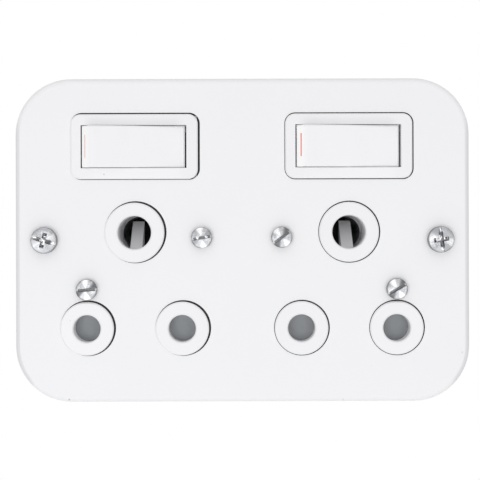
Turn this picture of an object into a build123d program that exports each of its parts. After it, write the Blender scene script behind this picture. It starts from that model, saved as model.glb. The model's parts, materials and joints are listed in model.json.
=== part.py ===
from build123d import *
from math import cos, pi, radians, sin, sqrt
import os

# A double switched wall socket: a pressed steel cover plate with two socket modules screwed behind it.
# Millimetres. X runs to the right, Z up, and Y into the wall; the front faces -Y.
# The origin is the middle of the plate, on the wall plane that its turned rim rests on.

# Plug pins that the sockets take
power_pin_d = 7.06
earth_pin_d = 8.71
power_pin_length = 18.6
earth_pin_length = 28.6
pin_spacing = 25.4
earth_slant = 28.58
pin_play = 0.11
pin_end_gap = 1.0

# Cover plate
plate_width = 121.6
plate_height = 86.6
plate_depth = 6.0
sheet = 1.2
corner_r = 15.0
bend_r = 1.6

# Places on the plate
power_row_z = -23.45
switch_z = 25.1
fixing_inset = 7.95
fixing_gap = 3.3
module_screw_places = ((17.95, 0.75), (-12.75, -13.05))
module_shift = {"left": (-0.26, -0.12), "right": (-0.12, -0.05)}

# Front moulding: the collars and bezel that show through the plate, and the wall behind it
collar_proud = 0.8
power_ring_r = 7.15
earth_ring_r = 8.0
bezel_width = 33.9
bezel_height = 17.3
bezel_corner_r = 2.6
cutout_play = 0.3
collar_edge = 0.35
hole_edge = 0.3
front_wall = 2.0
guide_step = 0.3
guide_wall = 1.5
guide_length = 7.8
boss_r = 3.0
boss_length = 6.0
boss_play = 0.2
rail_width = 1.2
rail_height = 1.9
rail_gap = 0.5
rail_end_gap = 0.8
rail_lead = 2.0

# Rear base
module_top_margin = 2.75
module_corner_r = 4.0
base_wall = 2.0
base_edge = 1.0
pedestal = 4.0
spring_post = 3.0

# Rocker
rocker_length = 27.35
rocker_height = 11.15
rocker_offset = -0.375
rocker_tilt = 6.0
rocker_crown = 0.4
rocker_depth = 2.8
rocker_wall = 1.4
rocker_edge = 0.4
window_offset = -0.14
window_end_play = 0.42
window_side_play = 0.17
pivot_depth = 2.6
pivot_r = 1.3
pivot_length = 1.1
pivot_end_gap = 0.15
pivot_play = 0.05
ear_r = 2.2
ear_shoulder = 0.08
facet_run = 2.2
facet_drop = 1.8
facet_round = 3.0
stem_r = 3.2
stem_length = 5.0

# Plunger, and the spring that drives it onto the contact lever
plunger_r = 2.0
plunger_wall = 0.5
plunger_travel = 1.0
plunger_start = 1.2
plunger_shoulder = 6.0
tip_r = 1.4
spring_seat_depth = 3.5
plunger_wire = 0.4
plunger_turns = 4
slide_play = 0.05

# Contact lever: a see-saw on the fulcrum, with a silver tip at its left end
lever_depth = 10.2
lever_tilt = 9.0
lever_left = 11.0
lever_right = 8.0
lever_width = 5.5
lever_thickness = 1.4
lever_play = 0.05
fulcrum_r = 0.5
fulcrum_inset = 0.4
tip_inset = 0.2
contact_r = 1.6
moving_tip_height = 0.8
fixed_tip_height = 0.6
contact_gap = 0.05

# Brass contacts and terminals
sleeve_wall = 1.2
sleeve_play = 0.07
sleeve_slot = 1.2
sleeve_gap = 0.6
strip_t = 1.5
strip_width = 6.0
arm_t = 1.2
arm_width = 4.8
terminal_size = 8.0
terminal_height = 6.8
terminal_gap = 0.8
wire_hole_r = 2.1
wire_hole_depth = 2.7
tang = 5.0
tang_play = 0.1
pocket_play = 1.0
pocket_wall = 1.6
pocket_inset = 1.0
post_gap = 0.4
channel_width = 5.4

# Shutter, which the earth pin wedges down to open the power holes
shutter_t = 1.6
shutter_play = 0.15
blank_width = 8.6
blank_margin = 0.36
open_gap = 0.16
web_height = 2.5
web_gap = 0.45
blank_end_gap = 0.75
arm_of_shutter = 6.0
ramp_width = 3.2
ramp_depth = 8.0
ramp_foot = 6.0
ramp_gap = 0.12
ramp_play = 0.2
spring_r = 1.6
spring_wire = 0.4
spring_turns = 6
spring_depth = 5.25
spring_end_gap = 0.9

# Screws
fixing_r = 1.75
fixing_head_r = 3.5
fixing_head_height = 2.0
fixing_head_edge = 0.8
fixing_length = 25.0
fixing_neck = 1.8
fixing_neck_r = 1.4
fixing_hole_r = 2.1
screw_point = 0.6
recess_width = 0.9
recess_length = 4.2
recess_depth = 1.3
module_screw_r = 1.45
module_head_r = 2.8
module_head_height = 1.8
module_head_edge = 0.5
module_hole_r = 1.75
slot_angles = {"left": (10.0, 4.0), "right": (37.0, 30.0)}
insert_r = 2.4
insert_length = 4.5
thread_play = 0.05
base_screw_r = 1.45
base_head_r = 2.8
base_head_height = 2.0
base_boss_r = 2.9
base_boss_length = 6.8
base_post_r = 3.4
counterbore_play = 0.2
counterbore_depth = 6.0
screw_end_gap = 0.8
terminal_screw_r = 1.7
terminal_head_r = 2.75
terminal_head_height = 1.8
slot_width = 0.8
slot_depth = 0.8

# Straight runs in one turn of a spring, and how far a cutter runs past the face that it cuts
runs_per_turn = 8
past = 1.0

# Depths, from the front to the back
wall_y = 0.0
face_y = wall_y - plate_depth
seat_y = face_y + sheet
collar_y = face_y - collar_proud
inner_y = seat_y + front_wall
pivot_y = collar_y + pivot_depth
lever_y = pivot_y + lever_depth
boss_back = inner_y + boss_length
base_boss_back = inner_y + base_boss_length
guide_back = inner_y + guide_length
shutter_front = inner_y + shutter_play
shutter_back = shutter_front + shutter_t
ramp_back = shutter_front + ramp_depth
spring_y = shutter_front + spring_depth
sleeve_front = shutter_back + sleeve_gap
earth_sleeve_front = max(ramp_back, guide_back) + sleeve_gap
strip_front = collar_y + power_pin_length + pin_end_gap
strip_back = strip_front + strip_t
pocket_floor = strip_back + pocket_wall
wire_y = pocket_floor + wire_hole_depth
terminal_back = pocket_floor + terminal_height
floor_y = collar_y + earth_pin_length + pin_end_gap
back_y = floor_y + base_wall
counterbore_y = back_y - counterbore_depth

# Pin holes and sleeves of a module, seen from the front, with the earth hole's axis at x = 0
earth_z = power_row_z + sqrt(earth_slant**2 - (pin_spacing / 2) ** 2)
live_x = pin_spacing / 2
neutral_x = -live_x
power_hole_r = power_pin_d / 2 + pin_play
earth_hole_r = earth_pin_d / 2 + pin_play
power_sleeve_r = power_pin_d / 2 + sleeve_play
earth_sleeve_r = earth_pin_d / 2 + sleeve_play
guide_r = earth_hole_r + guide_step
guide_outer_r = guide_r + guide_wall

# Shutter: where it lies at rest and how far it has to travel
blank_half = power_hole_r + blank_margin
blank_low = power_row_z - blank_half
blank_high = power_row_z + blank_half
shutter_travel = power_hole_r + blank_half + open_gap
web_low = blank_high - web_height
ramp_low = earth_z - earth_hole_r - ramp_gap
ramp_high = ramp_low + shutter_travel
ramp_bottom = ramp_low - ramp_foot
rail_x = live_x + blank_width / 2 + 2 * shutter_play

# Outline of a module, its place on the plate, and the screw posts inside it
inside_half = rail_x + rail_width + rail_gap
module_width = 2 * (inside_half + base_wall)
fixing_pitch = plate_width - 2 * fixing_inset
module_pitch = fixing_pitch - 2 * fixing_gap - module_width
module_top = switch_z + bezel_height / 2 + module_top_margin
top_post_z = module_top - base_wall - base_boss_r - post_gap
side_post_x = inside_half - base_boss_r - post_gap
low_post_z = web_low - shutter_travel - web_gap - base_boss_r
module_bottom = min(low_post_z - base_boss_r, blank_low - shutter_travel - blank_end_gap) - base_wall
module_mid = (module_top + module_bottom) / 2
module_height = module_top - module_bottom
post_places = ((side_post_x, top_post_z), (-side_post_x, top_post_z), (0.0, low_post_z))
spring_bottom = low_post_z + base_post_r + spring_end_gap + spring_post

# Terminals
pocket_half = terminal_size / 2 + pocket_play
above_sleeve = sleeve_wall + terminal_gap + pocket_wall + pocket_half
terminal_places = {
    "line": (pocket_half - inside_half, top_post_z - base_post_r - post_gap - pocket_half),
    "neutral": (neutral_x, power_row_z + power_sleeve_r + above_sleeve),
    "earth": (0.0, earth_z + earth_sleeve_r + above_sleeve),
}

# Rocker and plunger, from the rocker's pivot
rocker_front = -pivot_depth - rocker_crown
rocker_left = rocker_offset - rocker_length / 2
rocker_right = rocker_offset + rocker_length / 2
window_length = rocker_length + 2 * window_end_play
window_height = rocker_height + 2 * window_side_play
bore_floor = plunger_start - 2 * plunger_travel - plunger_wire
plunger_bore_r = plunger_r - plunger_wall
tip_centre = lever_depth - lever_thickness - lever_play - tip_r

# Contact tips, from the lever's pivot
contact_arm = lever_left - contact_r - tip_inset

# Each side, with the sign that mirrors the choice of screw places
sides = {"left": 1, "right": -1}


def slab(shape, y_front, y_back):
    """A flat shape, drawn as seen from the front, between two depths."""
    return extrude(Plane.XZ.offset(-y_back) * shape, amount=y_back - y_front)


def block(x0, x1, y0, y1, z0, z1):
    """A box between two corners."""
    return Pos((x0 + x1) / 2, (y0 + y1) / 2, (z0 + z1) / 2) * Box(x1 - x0, y1 - y0, z1 - z0)


def rod(radius, y_front, y_back, x=0.0, z=0.0):
    """A round bar along Y."""
    return slab(Pos(x, z) * Circle(radius), y_front, y_back)


def pin_along_z(radius, z0, z1, x=0.0, y=0.0):
    """A round bar along Z."""
    return Pos(x, y, (z0 + z1) / 2) * Cylinder(radius, z1 - z0)


def turned(*points):
    """A turned piece about the Y axis, from its (radius, y) profile."""
    return revolve(make_face(Polyline(*points, close=True)), axis=Axis.Y)


def coil(mean_r, wire, length, turns):
    """A compression spring of square wire along +Z, from z = 0, each turn made of straight runs."""
    runs = turns * runs_per_turn
    rise = (length - 2 * wire) / runs
    step = 2 * pi / runs_per_turn
    path = Polyline(
        *[(mean_r * cos(i * step), mean_r * sin(i * step), wire + i * rise) for i in range(runs + 1)]
    )
    section = Plane(origin=path @ 0, x_dir=(1, 0, 0), z_dir=path % 0) * Rectangle(wire, wire)
    return sweep(section, path=path, transition=Transition.RIGHT)


def outline(inset=0.0):
    """The module's outline, or the same set in by a wall."""
    corner = module_corner_r - inset
    return Pos(0, module_mid) * RectangleRounded(module_width - 2 * inset, module_height - 2 * inset, corner)


def driver_slot(head_r, y_outer, y_floor):
    """The cutter for a straight slot across a screw head, between its floor and past its top."""
    low, high = sorted((y_outer, y_floor))
    return block(-head_r - past, head_r + past, low, high, -slot_width / 2, slot_width / 2)


def module_x(side):
    return -sides[side] * module_pitch / 2


def cover_plate():
    """The pressed plate: a flat face with a turned rim, cut out for the collars, bezels and screws."""
    outer = slab(RectangleRounded(plate_width, plate_height, corner_r), face_y, wall_y)
    outer = fillet(outer.faces().sort_by(Axis.Y)[0].edges(), bend_r)
    hollow = RectangleRounded(plate_width - 2 * sheet, plate_height - 2 * sheet, corner_r - sheet)
    plate = outer - slab(hollow, seat_y, wall_y + past)
    window = RectangleRounded(
        bezel_width + 2 * cutout_play, bezel_height + 2 * cutout_play, bezel_corner_r + cutout_play
    )
    through = (face_y - past, seat_y + past)
    for side, hand in sides.items():
        x = module_x(side)
        plate -= slab(Pos(x, switch_z) * window, *through)
        plate -= rod(earth_ring_r + cutout_play, *through, x, earth_z)
        for pin_x in (live_x, neutral_x):
            plate -= rod(power_ring_r + cutout_play, *through, x + pin_x, power_row_z)
        for screw_x, screw_z in module_screw_places:
            plate -= rod(module_hole_r, *through, x + hand * screw_x, screw_z)
        plate -= rod(fixing_hole_r, *through, hand * fixing_pitch / 2, 0)
    return plate


def collar(ring_r, hole_r):
    """A raised collar round a pin hole, with eased edges, down to the back of the front wall."""
    return turned(
        (hole_r, inner_y),
        (hole_r, collar_y + hole_edge),
        (hole_r + hole_edge, collar_y),
        (ring_r - collar_edge, collar_y),
        (ring_r, collar_y + collar_edge),
        (ring_r, inner_y),
    )


def front_moulding(hand):
    """The white front: a wall behind the plate, with collars, a rocker bezel, guides and bosses."""
    front = slab(outline(), seat_y, inner_y)
    frame = RectangleRounded(bezel_width, bezel_height, bezel_corner_r)
    bezel = slab(Pos(0, switch_z) * frame, collar_y, seat_y)
    front += chamfer(bezel.faces().sort_by(Axis.Y)[0].edges(), collar_edge)
    window = Pos(window_offset, switch_z) * Rectangle(window_length, window_height)
    front -= slab(window, collar_y - past, inner_y + past)
    bearing = window_height / 2 + pivot_length
    front -= pin_along_z(pivot_r + pivot_play, switch_z - bearing, switch_z + bearing, 0, pivot_y)
    holes = [(earth_ring_r, earth_hole_r, 0.0, earth_z)]
    holes += [(power_ring_r, power_hole_r, x, power_row_z) for x in (live_x, neutral_x)]
    for ring_r, hole_r, x, z in holes:
        front -= rod(ring_r, seat_y - past, inner_y + past, x, z)
        front += Pos(x, 0, z) * collar(ring_r, hole_r)
    front += Pos(0, 0, earth_z) * earth_guide()
    for sign in (-1, 1):
        rail = sorted((sign * rail_x, sign * (rail_x + rail_width)))
        rail_low = module_bottom + base_wall + rail_end_gap
        front += block(*rail, inner_y, inner_y + rail_height, rail_low, blank_high + rail_lead)
        for x, z in module_screw_places:
            front += rod(boss_r, inner_y, boss_back, sign * x, z)
    for x, z in module_screw_places:
        front -= rod(module_screw_r + 2 * thread_play, seat_y - past, boss_back + past, hand * x, z)
        pocket = Pos(hand * x, z) * RegularPolygon(insert_r, 6)
        front -= slab(pocket, boss_back - insert_length, boss_back + past)
    for x, z in post_places:
        front += rod(base_boss_r, inner_y, base_boss_back, x, z)
        front -= rod(base_screw_r + thread_play, inner_y, base_boss_back + past, x, z)
    return front


def earth_guide():
    """The tube behind the earth hole, slotted at the bottom for the shutter's ramp."""
    guide = rod(guide_outer_r, inner_y, guide_back) - rod(guide_r, inner_y - past, guide_back + past)
    half = ramp_width / 2 + ramp_play
    return guide - block(-half, half, inner_y - past, guide_back + past, -guide_outer_r - past, 0)


def insert_nuts(hand):
    """Six-sided brass inserts in the bosses that the plate's screws bite into."""
    front = boss_back - insert_length
    nut = slab(RegularPolygon(insert_r, 6), front, boss_back)
    nut -= rod(module_screw_r + thread_play, front - past, boss_back + past)
    return Compound([Pos(hand * x, 0, z) * nut for x, z in module_screw_places])


def terminal_pocket(name):
    """The walls and the cutter of one terminal's recess, open at the back, with a channel for its wire."""
    x, z = terminal_places[name]
    outward = 1 if name == "earth" else -1
    edge = outward * module_width / 2
    half = pocket_half + pocket_wall
    walls = block(x - half, x + half, strip_back, back_y - pocket_inset, z - half, z + half)
    half = channel_width / 2 + pocket_wall
    walls += block(*sorted((x, edge)), strip_back, back_y - pocket_inset, z - half, z + half)
    half = pocket_half
    cutter = block(x - half, x + half, pocket_floor, back_y + past, z - half, z + half)
    half = channel_width / 2
    cutter += block(*sorted((x, edge + outward)), pocket_floor, back_y + past, z - half, z + half)
    half = tang / 2 + tang_play
    cutter += block(x - half, x + half, strip_back - past, pocket_floor + past, z - half, z + half)
    return walls, cutter


def rear_base():
    """The black base: a tub that holds the contacts, with terminal recesses in its back."""
    body = slab(outline(), inner_y, back_y)
    body = chamfer(body.faces().sort_by(Axis.Y)[-1].edges(), base_edge)
    base = body - slab(outline(base_wall), inner_y - past, floor_y)
    for x in (live_x, neutral_x):
        base += rod(power_sleeve_r + sleeve_wall, strip_back, floor_y, x, power_row_z)
    half = pedestal / 2
    base += block(-half, half, strip_back, floor_y, switch_z - half, switch_z + half)
    half = spring_r + spring_wire
    base += block(-half, half, spring_y - half, floor_y, spring_bottom - spring_post, spring_bottom)
    for x, z in post_places:
        base += rod(base_post_r, base_boss_back, floor_y, x, z) & body
    pockets = [terminal_pocket(name) for name in terminal_places]
    for walls, cutter in pockets:
        base += walls & body
    for walls, cutter in pockets:
        base -= cutter
    for x, z in post_places:
        base -= rod(base_screw_r + 3 * thread_play, inner_y, back_y + past, x, z)
        base -= rod(base_head_r + counterbore_play, counterbore_y, back_y + past, x, z)
    boss_x, boss_z = module_screw_places[0]
    half = boss_r + boss_play
    for sign in (-1, 1):
        notch = sorted((sign * (boss_x - half), sign * (module_width / 2 + past)))
        base -= block(*notch, inner_y - past, boss_back + boss_play, boss_z - half, boss_z + half)
    return base


def base_screws():
    """The screws that hold the base to the front moulding, driven from the back."""
    tip = inner_y + screw_end_gap
    head_back = counterbore_y + base_head_height
    screw = turned(
        (0, tip),
        (base_screw_r, tip),
        (base_screw_r, counterbore_y),
        (base_head_r, counterbore_y),
        (base_head_r, head_back),
        (0, head_back),
    )
    screw -= driver_slot(base_head_r, head_back + past, head_back - slot_depth)
    return Compound([Pos(x, 0, z) * screw for x, z in post_places])


def sleeve(inner_r, y_front, y_back, slot_angle):
    """A split contact sleeve about the Y axis."""
    outer_r = inner_r + sleeve_wall
    tube = rod(outer_r, y_front, y_back) - rod(inner_r, y_front - past, y_back + past)
    slot = block(0, outer_r + past, y_front - past, y_back + past, -sleeve_slot / 2, sleeve_slot / 2)
    return tube - Rot(0, -slot_angle, 0) * slot


def terminal_block(name):
    """A pillar terminal: a block with a cross hole for the wire and a screw from the back."""
    x, z = terminal_places[name]
    half = terminal_size / 2
    pillar = block(-half, half, pocket_floor, terminal_back, -half, half)
    half = tang / 2
    pillar += block(-half, half, strip_front, pocket_floor, -half, half)
    pillar -= Pos(0, wire_y, 0) * Rot(0, 90, 0) * Cylinder(wire_hole_r, terminal_size + 2 * past)
    pillar -= rod(terminal_screw_r + thread_play, wire_y, terminal_back + past)
    return Pos(x, 0, z) * pillar


def power_sleeve(x, slot_angle):
    """A power contact: a split sleeve on a round foot."""
    foot = rod(power_sleeve_r + sleeve_wall, strip_front, strip_back)
    return Pos(x, 0, power_row_z) * (sleeve(power_sleeve_r, sleeve_front, strip_front, slot_angle) + foot)


def neutral_contact():
    """The neutral sleeve and its terminal, joined by a strip."""
    top = terminal_places["neutral"][1] + tang / 2
    half = strip_width / 2
    strip = block(neutral_x - half, neutral_x + half, strip_front, strip_back, power_row_z, top)
    return power_sleeve(neutral_x, 180) + strip + terminal_block("neutral")


def live_contact():
    """The switched live sleeve, with a strip up the module to the fulcrum of the contact lever."""
    half = strip_width / 2
    low, high = switch_z - arm_width / 2, switch_z + arm_width / 2
    strip = block(live_x - half, live_x + half, strip_front, strip_back, power_row_z, high)
    strip += block(-pedestal / 2, live_x, strip_front, strip_back, low, high)
    width = lever_width / 2 - fulcrum_inset
    fulcrum = block(-fulcrum_r, fulcrum_r, lever_y, strip_front, switch_z - width, switch_z + width)
    fulcrum += pin_along_z(fulcrum_r, switch_z - width, switch_z + width, 0, lever_y)
    return power_sleeve(live_x, 0) + strip + fulcrum


def earth_contact():
    """The earth sleeve and its terminal, joined by a strip."""
    tube = Pos(0, 0, earth_z) * sleeve(earth_sleeve_r, earth_sleeve_front, floor_y, 270)
    low = earth_z + earth_sleeve_r + sleeve_wall / 2
    top = terminal_places["earth"][1] + tang / 2
    strip = block(-strip_width / 2, strip_width / 2, strip_front, strip_back, low, top)
    return tube + strip + terminal_block("earth")


def in_lever_frame(piece):
    """A piece drawn about the lever's pivot, turned to the switched-on position."""
    return Pos(0, lever_y, switch_z) * Rot(0, 0, -lever_tilt) * piece


def line_terminal():
    """The supply terminal, with the fixed switch contact's arm under the lever's left end."""
    x, z = terminal_places["line"]
    arm_front = moving_tip_height + contact_gap + fixed_tip_height
    half = arm_width / 2
    arm = block(-lever_left, -contact_arm + contact_r, arm_front, arm_front + arm_t, -half, half)
    arm_y = lever_y + lever_left * sin(radians(lever_tilt)) + arm_front * cos(radians(lever_tilt))
    riser_x = -lever_left * cos(radians(lever_tilt)) + arm_front * sin(radians(lever_tilt))
    riser = block(riser_x - arm_t / 2, riser_x + arm_t, arm_y, strip_back, switch_z - half, switch_z + half)
    foot = block(x - tang / 2, riser_x + arm_t, strip_front, strip_back, z - tang / 2, switch_z + half)
    return in_lever_frame(arm) + riser + foot + terminal_block("line")


def contact_lever():
    """The see-saw lever, with a groove in its back that rocks on the fulcrum."""
    half = lever_width / 2
    lever = block(-lever_left, lever_right, -lever_thickness, 0, -half, half)
    lever -= pin_along_z(fulcrum_r + lever_play, -half - past, half + past)
    return in_lever_frame(lever)


def moving_tip():
    return in_lever_frame(rod(contact_r, 0, moving_tip_height, -contact_arm))


def fixed_tip():
    front = moving_tip_height + contact_gap
    return in_lever_frame(rod(contact_r, front, front + fixed_tip_height, -contact_arm))


def terminal_screws():
    """One slotted screw for each terminal, standing clear of the wire hole."""
    tip = wire_y + wire_hole_r + thread_play
    head_back = terminal_back + terminal_head_height
    screw = turned(
        (0, tip),
        (terminal_screw_r, tip),
        (terminal_screw_r, terminal_back),
        (terminal_head_r, terminal_back),
        (terminal_head_r, head_back),
        (0, head_back),
    )
    screw -= driver_slot(terminal_head_r, head_back + past, head_back - slot_depth)
    return Compound([Pos(x, 0, z) * screw for x, z in terminal_places.values()])


def in_rocker_frame(piece):
    """A piece drawn about the rocker's pivot, turned to the switched-on position."""
    return Pos(0, pivot_y, switch_z) * Rot(0, 0, rocker_tilt) * piece


def rocker():
    """The rocker: a flat cap with a facet at its left end, on two pivots, with a hollow stem."""
    back = rocker_front + rocker_depth
    half = rocker_height / 2
    side = Polyline(
        (rocker_left, back),
        (rocker_left, rocker_front + facet_drop),
        (rocker_left + facet_run, rocker_front),
        (rocker_right, rocker_front),
        (rocker_right, back),
        close=True,
    )
    cap = Pos(0, 0, -half) * extrude(make_face(side), amount=rocker_height)
    ridge = Vector(rocker_left + facet_run, rocker_front, 0)
    cap = fillet(cap.edges().filter_by(Axis.Z).sort_by(lambda e: (e.center() - ridge).length)[0], facet_round)
    cap = chamfer(cap.faces().filter_by(Axis.Y).sort_by(Axis.Y)[0].edges(), rocker_edge)
    hollow_left = rocker_left + rocker_wall + facet_run / 2
    hollow_half = half - rocker_wall
    hollow = (hollow_left, rocker_right - rocker_wall, rocker_front + rocker_wall, back + past)
    cap -= block(*hollow, -hollow_half, hollow_half)
    shoulder = half + ear_shoulder
    stub_end = half + window_side_play + pivot_length - pivot_end_gap
    for sign in (-1, 1):
        cap += pin_along_z(ear_r, *sorted((sign * hollow_half, sign * half)))
        cap += pin_along_z(pivot_r + ear_shoulder, *sorted((sign * half, sign * shoulder)))
        cap += pin_along_z(pivot_r, *sorted((sign * shoulder, sign * stub_end)))
    cap += rod(stem_r, rocker_front + rocker_wall, stem_length)
    cap -= rod(plunger_r + slide_play, bore_floor, stem_length + past)
    return in_rocker_frame(cap)


def plunger():
    """The plunger: a hollow pin with a blunt nose that slides in the rocker's stem."""
    bottom = plunger_start + spring_seat_depth
    pin = turned(
        (0, bottom),
        (plunger_bore_r, bottom),
        (plunger_bore_r, plunger_start),
        (plunger_r, plunger_start),
        (plunger_r, plunger_shoulder),
        (tip_r, plunger_shoulder + plunger_r - tip_r),
        (tip_r, tip_centre),
        (tip_r * cos(radians(45)), tip_centre + tip_r * sin(radians(45))),
        (0, tip_centre + tip_r),
    )
    return in_rocker_frame(pin)


def plunger_spring():
    """The plunger's spring, from the stem's bore floor to the plunger's own bore."""
    length = plunger_start + spring_seat_depth - bore_floor
    spring = coil(plunger_bore_r - plunger_wire, plunger_wire, length, plunger_turns)
    return in_rocker_frame(Pos(0, bore_floor, 0) * Rot(-90, 0, 0) * spring)


def shutter():
    """The grey shutter: two blanks on a web, with an arm up to a ramp in the earth hole."""
    span = live_x + blank_width / 2
    piece = block(-span, span, shutter_front, shutter_back, web_low, blank_high)
    half = blank_width / 2
    for x in (live_x, neutral_x):
        piece += block(x - half, x + half, shutter_front, shutter_back, blank_low, blank_high)
    half = arm_of_shutter / 2
    piece += block(-half, half, shutter_front, shutter_back, web_low, earth_z - guide_outer_r - ramp_play)
    ramp = Polyline(
        (shutter_front, ramp_bottom),
        (shutter_front, ramp_low),
        (ramp_back, ramp_high),
        (ramp_back, ramp_bottom),
        close=True,
    )
    return piece + extrude(Plane.YZ.offset(-ramp_width / 2) * make_face(ramp), amount=ramp_width)


def shutter_spring():
    """The spring that pushes the shutter back up, between the ramp's foot and a post in the base."""
    spring = coil(spring_r, spring_wire, ramp_bottom - spring_bottom, spring_turns)
    return Pos(0, spring_y, spring_bottom) * spring


def fixing_screws():
    """The two pan-head screws that fix the plate to its wall box."""
    top = face_y - fixing_head_height
    tip = face_y + fixing_length
    screw = turned(
        (0, top),
        (fixing_head_r - fixing_head_edge, top + fixing_head_edge / 3),
        (fixing_head_r, top + fixing_head_edge),
        (fixing_head_r, face_y),
        (fixing_neck_r, face_y),
        (fixing_neck_r, face_y + fixing_neck),
        (fixing_r, face_y + fixing_neck),
        (fixing_r, tip - screw_point),
        (fixing_r - screw_point, tip),
        (0, tip),
    )
    half = recess_length / 2
    arm = block(-half, half, top - past, top + recess_depth, -recess_width / 2, recess_width / 2)
    screw -= arm + Rot(0, 90, 0) * arm
    return Compound([Pos(hand * fixing_pitch / 2, 0, 0) * screw for hand in sides.values()])


def module_screws():
    """The four slotted screws that hold the modules to the plate."""
    top = face_y - module_head_height
    tip = boss_back - thread_play
    screw = turned(
        (0, top),
        (module_head_r - module_head_edge, top + module_head_edge / 3),
        (module_head_r, top + module_head_edge),
        (module_head_r, face_y),
        (module_screw_r, face_y),
        (module_screw_r, tip),
        (0, tip),
    )
    slot = driver_slot(module_head_r, top - past, top + slot_depth)
    screws = []
    for side, hand in sides.items():
        dx, dz = module_shift[side]
        for (x, z), angle in zip(module_screw_places, slot_angles[side]):
            slotted = screw - Rot(0, -angle, 0) * slot
            screws.append(Pos(module_x(side) + hand * x + dx, 0, z + dz) * slotted)
    return Compound(screws)


def module_pieces(hand):
    """Every piece of one module, in the module's own place."""
    return {
        "front_moulding": front_moulding(hand),
        "rear_base": rear_base(),
        "insert_nuts": insert_nuts(hand),
        "base_screws": base_screws(),
        "rocker": rocker(),
        "plunger": plunger(),
        "plunger_spring": plunger_spring(),
        "contact_lever": contact_lever(),
        "moving_tip": moving_tip(),
        "fixed_tip": fixed_tip(),
        "line_terminal": line_terminal(),
        "live_contact": live_contact(),
        "neutral_contact": neutral_contact(),
        "earth_contact": earth_contact(),
        "terminal_screws": terminal_screws(),
        "shutter": shutter(),
        "shutter_spring": shutter_spring(),
    }


def all_pieces():
    pieces = {
        "cover_plate": cover_plate(),
        "fixing_screws": fixing_screws(),
        "module_screws": module_screws(),
    }
    for side, hand in sides.items():
        dx, dz = module_shift[side]
        place = Pos(module_x(side) + dx, 0, dz)
        for name, piece in module_pieces(hand).items():
            pieces[f"{name}_{side}"] = place * piece
    return pieces


os.makedirs("parts", exist_ok=True)
for name, piece in all_pieces().items():
    export_step(piece, f"parts/{name}.step")
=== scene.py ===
# %% [markdown]
# # A double switched wall socket
# On the real object a pressed steel plate carries two socket modules, each with a rocker switch, three
# pin holes and a shutter behind them. The solids come ready made from the packed model. This lesson gives
# every one of them its finish, swaps the plain screws and springs for detailed ones, adds the red marks
# on the rockers, and then sets up the light and the camera.

# %% Load the packed model
import json
from math import atan2, cos, degrees, radians, sin, tau

import bmesh
import bpy
from mathutils import Matrix, Vector


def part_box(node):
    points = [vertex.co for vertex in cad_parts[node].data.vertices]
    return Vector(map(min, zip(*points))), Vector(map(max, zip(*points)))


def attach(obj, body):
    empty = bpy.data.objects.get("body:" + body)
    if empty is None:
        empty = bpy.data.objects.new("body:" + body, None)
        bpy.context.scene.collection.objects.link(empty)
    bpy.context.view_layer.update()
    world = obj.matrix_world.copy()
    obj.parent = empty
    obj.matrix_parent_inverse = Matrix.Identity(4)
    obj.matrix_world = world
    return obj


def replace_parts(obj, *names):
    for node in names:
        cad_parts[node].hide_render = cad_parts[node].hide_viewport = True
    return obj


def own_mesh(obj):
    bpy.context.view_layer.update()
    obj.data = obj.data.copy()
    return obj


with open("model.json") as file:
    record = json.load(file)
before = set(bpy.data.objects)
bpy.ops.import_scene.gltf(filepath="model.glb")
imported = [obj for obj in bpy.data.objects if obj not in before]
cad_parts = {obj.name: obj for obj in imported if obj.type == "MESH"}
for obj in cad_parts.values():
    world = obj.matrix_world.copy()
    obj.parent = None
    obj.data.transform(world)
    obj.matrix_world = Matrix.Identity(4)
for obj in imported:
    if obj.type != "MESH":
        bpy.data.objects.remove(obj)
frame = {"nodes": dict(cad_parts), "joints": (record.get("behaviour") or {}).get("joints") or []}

mm = 0.001
sides = ("left", "right")
nodes = frame["nodes"]
joints = {row["name"]: row for row in frame["joints"]}
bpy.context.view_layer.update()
print("nodes:", len(nodes), "joints:", len(joints))

# %% [markdown]
# ## Where things stand
# Pieces that are made here have to meet the solids, so their places are read from the frame where that
# can be done. The plate's box gives its face, its lower edge and its ends. A rocker's joint gives the
# pivot, which lies in the middle of its module and of its switch, and half of the joint's travel is the
# tilt of a rocker at rest. Sizes that no box shows are those of the solids, in millimetres, and each is
# named once.

# %% Places and sizes
plate_low, plate_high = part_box("cover_plate")
face_mm = plate_low.y / mm
lower_edge_mm = plate_low.z / mm
plate_end_mm = plate_high.x / mm
sheet_mm, corner_mm = 1.2, 15.0
seat_mm = face_mm + sheet_mm

pivot = {side: Vector(joints[f"rocker_{side}"]["pos_m"]) for side in sides}
middle_mm = {side: pivot[side].x / mm for side in sides}
switch_mm = {side: pivot[side].z / mm for side in sides}
low_deg, high_deg = joints["rocker_left"]["range_deg"]
tilt = radians(high_deg - low_deg) / 2

earth_drop_mm, power_drop_mm, pin_gap_mm = 22.95, 48.55, 25.4
earth_collar_mm, power_collar_mm = 8.0, 7.15
bezel_width_mm, bezel_height_mm, window_mm, strip_mm = 33.9, 17.3, 28.2, 2.9
print("modules at:", {s: (round(middle_mm[s], 2), round(switch_mm[s], 2)) for s in sides})
print("tilt of a rocker:", round(degrees(tilt), 2), "degrees")

# %% [markdown]
# ## Writing shader maths in Python
# A finish is a tree of nodes, and most of its nodes only add, multiply or compare values. They could be
# made and linked one by one, but that hides the sum that they stand for. A small class that wraps a
# socket lets a mask be written as an ordinary expression, and each operator in it adds its own Math node.
# A second class holds a tree, of a material or of the world, and its one method makes every other kind of
# node.

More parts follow.
